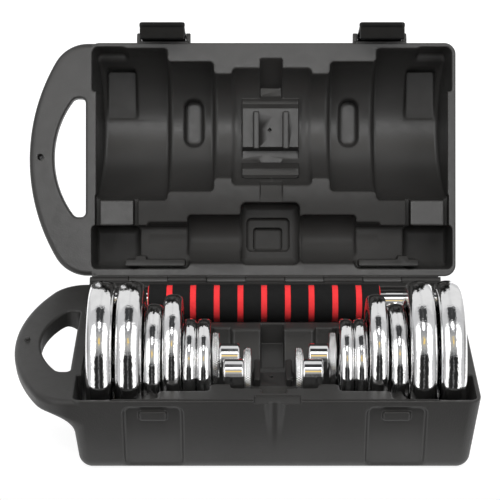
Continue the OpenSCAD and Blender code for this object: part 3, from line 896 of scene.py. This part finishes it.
def latch_place(side):
    """From the shut latch's (x, s, w) to the place where the open lid carries it, standing ajar."""
    axis = np.array([0, HINGE_Y - (MID_S + CASE_D / 2 + LATCH_OUT), SHELL_H + LATCH_UP])
    hinge = np.array([0, HINGE_Y, SHELL_H])

    def turn(p, about, angle):
        c, n = math.cos(angle), math.sin(angle)
        q = p - about
        return np.stack([q[:, 0], c * q[:, 1] - n * q[:, 2], n * q[:, 1] + c * q[:, 2]], 1) + about

    def place(p):
        q = np.stack([p[:, 0], HINGE_Y - p[:, 1], SHELL_H - p[:, 2]], 1)
        q = turn(q, axis, -AJAR)
        q = turn(q, hinge, -LID_OPEN)
        return (q + [side * LATCH_X, 0, 0]) * MM, False
    return place


def latch(node, side):
    low = (-LATCH_HALF - 3, MID_S + CASE_D / 2 - 6, -LATCH_UP - 8)
    high = (LATCH_HALF + 3, MID_S + CASE_D / 2 + 16, LATCH_DOWN + 3)
    return field_mesh(node + "_moulding", latch_field, low, high, 0.6, 24000, latch_place(side))


def pin(node):
    """Steel pin with domed ends."""
    centre, half = centre_of(node)
    if half[0] < half[1]:
        raise ValueError(node)
    end, r = half[0], min(half[1], half[2])
    right = [(end, 0.01), (end, r - 0.6), (end - 0.2, r - 0.2), (end - 0.7, r)]
    return turned(node + "_steel", right + [(-x, y) for x, y in reversed(right)], centre, 48)


# ---------- shells ----------

SHELL_STEP = 1.25
SHELL_FACES = 190000
SHELL_LOW = (-CASE_W / 2 - HANDLE_OUT - 4, -8, -6)
SHELL_HIGH = (CASE_W / 2 + 4, MID_S + CASE_D / 2 + 4, SHELL_H + 4)


def mark_grain_and_painted_shade(obj, back, painted_shade_amount):
    """Stores two values for each point: its leather grain, full on the outside and little inside, and painted shade
    that turns the specular down around the lid's rear channel and in two pads, so that these look darker."""
    mesh = obj.data
    p = np.empty(len(mesh.vertices) * 3)
    mesh.vertices.foreach_get("co", p)
    x, s, w = back(p.reshape(-1, 3)).T
    away = np.abs(outer_form(x, s, w))
    grain = np.clip(1 - away / 1.5, 0, 1) * np.clip((w - 0.8) / 1.0, 0, 1)
    layer = mesh.attributes.new("grain", "FLOAT", "POINT")
    layer.data.foreach_set("value", grain.astype(np.float32))
    side = np.abs(x)
    near = np.clip((187 - side) / 4, 0, 1) * np.clip((s - 15) / 3, 0, 1)
    channel = near * np.clip((128 - s) / 50, 0, 1)
    tabs = np.clip((side - 143) / 1.5, 0, 1) * np.clip((s - 55) / 1.5, 0, 1) * np.clip((4 - w) / 2, 0, 1)
    pads = np.clip((side - 142) / 2, 0, 1) * np.clip((w - 50) / 10, 0, 1) * np.clip((s - 170) / 3, 0, 1) * 0.7
    # Painted shade: lowered specular in the lid's rear channel and two pads, so they read darker as if in shade; the
    # base gets none.
    dull_and_painted_shade = np.maximum(channel * (1 - tabs), pads) * np.clip(1.2 - away / 60, 0.9, 1.0) * painted_shade_amount
    layer = mesh.attributes.new("dull_and_painted_shade", "FLOAT", "POINT")
    layer.data.foreach_set("value", dull_and_painted_shade.astype(np.float32))


def base_back(p):
    q = p / MM
    return np.stack([q[:, 0], HINGE_Y - q[:, 1], SHELL_H - q[:, 2]], 1)


def lid_back(p):
    q = p / MM
    c, n = math.cos(LID_OPEN), math.sin(LID_OPEN)
    y, z = q[:, 1] - HINGE_Y, q[:, 2] - SHELL_H
    return np.stack([q[:, 0], -c * y + n * z, n * y + c * z], 1)


# ---------- studio ----------

def lamp(name, place, direction, size, power):
    """White rectangular lamp that shines along a direction."""
    data = bpy.data.lights.new(name, "AREA")
    data.shape = "RECTANGLE"
    data.size, data.size_y = size
    data.energy = power
    obj = bpy.data.objects.new(name, data)
    bpy.context.scene.collection.objects.link(obj)
    obj.location = place
    look(obj, direction)
    return obj


def surround():
    """Photographer's room, painted by direction: pale walls and ceiling, white soft boxes on both sides of the
    camera, and between them a dark gap with two small lamps. up is 0 degrees level towards the front, 90 overhead
    and 180 level towards the back."""
    n = Nodes("surround", surround=True)
    axes = n.add("ShaderNodeSeparateXYZ", {0: n.point}).outputs
    up = n.math("DEGREES", n.math("ARCTAN2", axes[2], n.math("MULTIPLY", axes[1], -1.0)))
    aside = n.math("DEGREES", n.math("ARCSINE", axes[0]))
    side = n.math("ABSOLUTE", aside)
    colour = (0.62, 0.62, 0.63, 1)

    def paint(mask, shade):
        nonlocal colour
        colour = n.blend(mask, colour, shade)

    def patch(u0, u1, u_soft, s0, s1, s_soft):
        return n.math("MULTIPLY", n.window(up, u0, u1, u_soft), n.window(side, s0, s1, s_soft))

    paint(n.window(side, 62, 91, 6), (0.33, 0.33, 0.33, 1))
    paint(patch(-60, 80, 4, 17, 37, 3), (1.8, 1.8, 1.8, 1))
    paint(patch(28, 74, 6, 17, 40, 3), (3.0, 3.0, 3.0, 1))
    paint(patch(112, 168, 3, -1, 40, 6), (0.82, 0.82, 0.82, 1))
    paint(patch(60, 83, 5, -1, 17, 2), (0.30, 0.30, 0.31, 1))
    paint(patch(34, 62, 6, -1, 16, 4), (0.42, 0.42, 0.41, 1))
    paint(patch(-60, 36, 6, -1, 24, 4), (0.022, 0.022, 0.022, 1))
    paint(patch(83, 110, 2, -1, 17, 2), (0.045, 0.046, 0.048, 1))
    above = n.math("POWER", n.math("SUBTRACT", up, 76.0), 2.0)
    spot = n.math("SQRT", n.math("ADD", above, n.math("POWER", aside, 2.0)))
    paint(n.ramp(spot, 5.5, 8.0, 1.0, 0.0), (2.6, 2.6, 2.6, 1))
    warm = n.math("MULTIPLY", n.window(up, 47, 57, 1.5), n.window(aside, -4, 5, 1.5))
    paint(warm, (1.0, 0.72, 0.25, 1))
    lit = n.blend(n.add("ShaderNodeLightPath").outputs["Is Camera Ray"], colour, (1.0, 1.0, 1.0, 1))
    n.tree.links.new(lit, n.shader.inputs["Color"])
    bpy.context.scene.world = n.material


def studio(sheen_pieces):
    """White floor under the surround, one soft lamp high in front that shows in no reflection, and one beside the
    camera that lights only the lid and gives its plastic a sheen."""
    bpy.ops.mesh.primitive_plane_add(size=14, location=(0, 6.84, 0))
    floor = bpy.context.object
    floor.name = "floor"
    n = Nodes("floor")
    n.shader.inputs["Emission Color"].default_value = (1, 1, 1, 1)
    n.shader.inputs["Emission Strength"].default_value = 0.86
    floor.data.materials.append(n.set(base_color=(0.30, 0.30, 0.30, 1), roughness=0.9))
    surround()
    key = lamp("key_box", (-0.05, -0.95, 1.85), (0.02, 0.5, -0.87), (1.2, 0.7), 26)
    key.visible_glossy = False
    sheen = lamp("sheen_box", (-0.05, -1.85, 1.25), (0, 0.88, -0.47), (1.1, 0.45), 16)
    sheen.light_linking.receiver_collection = sheen_pieces
    bpy.context.scene.view_settings.view_transform = "Standard"


# ---------- assembly ----------

def finish_piece(obj, material, body, nodes):
    """Gives a piece its material and its body, and hides the CAD nodes that it stands in for."""
    obj.data.materials.clear()
    obj.data.materials.append(material)
    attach(obj, body)
    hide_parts(*nodes)
    return obj


def assemble(sheen_pieces):
    """Makes every piece and puts it on its body."""
    plastic, latch_black, plain_steel, black_rubber = case_plastic(), latch_plastic(), steel(), rubber()
    bright, turned_bright = chrome("chrome_cast", 0.22, 0.5), chrome("chrome_turned", 0.0, 0.08)
    red = foam("red_foam", (0.66, 0.030, 0.034, 1), (0.80, 0.042, 0.046, 1))
    black = foam("black_foam", grey(0.006), grey(0.009))
    bodies = frame["record"]["behaviour"]["bodies"]

    base = field_mesh("case_base_shell", base_field, SHELL_LOW, SHELL_HIGH, SHELL_STEP, SHELL_FACES, base_place)
    mark_grain_and_painted_shade(base, base_back, 0.0)
    finish_piece(base, plastic, "case_base", ["base_shell"])
    lid = field_mesh("case_lid_shell", lid_field, SHELL_LOW, SHELL_HIGH, SHELL_STEP, SHELL_FACES, lid_place)
    mark_grain_and_painted_shade(lid, lid_back, 1.0)
    finish_piece(lid, plastic, "case_lid", ["lid_shell"])
    sheen_pieces.objects.link(lid)
    for side, name in ((-1, "latch_left"), (1, "latch_right")):
        finish_piece(latch(name, side), latch_black, name, [name])
        finish_piece(pin("latch_pin_" + name.split("_")[1]), plain_steel, "case_lid",
                     ["latch_pin_" + name.split("_")[1]])
    finish_piece(pin("hinge_pin"), plain_steel, "case_base", ["hinge_pin"])

    for body, nodes in bodies.items():
        if body.startswith("plate_"):
            finish_piece(plate(nodes[0]), bright, body, nodes)
        elif body.startswith("collar_"):
            inward = 1 if body in ("collar_left_rear", "collar_right_front") else -1
            finish_piece(collar(body, inward), turned_bright, body, [body])
            ring = body.replace("collar", "ring")
            finish_piece(clamp_ring(ring), black_rubber, body, [ring])
        elif body.startswith("bar_"):
            finish_piece(bar(body), turned_bright, body, [body])
            finish_piece(stops(body + "_stops"), turned_bright, body, [body + "_stops"])
    finish_piece(tube("connector_tube"), turned_bright, "connector", ["connector_tube"])
    finish_piece(foam_sleeve("grip_sleeve"), red, "connector", ["grip_sleeve"])
    finish_piece(foam_bands("grip_bands"), black, "connector", ["grip_bands"])


sheen_pieces = bpy.data.collections.new("sheen_pieces")
studio(sheen_pieces)
assemble(sheen_pieces)
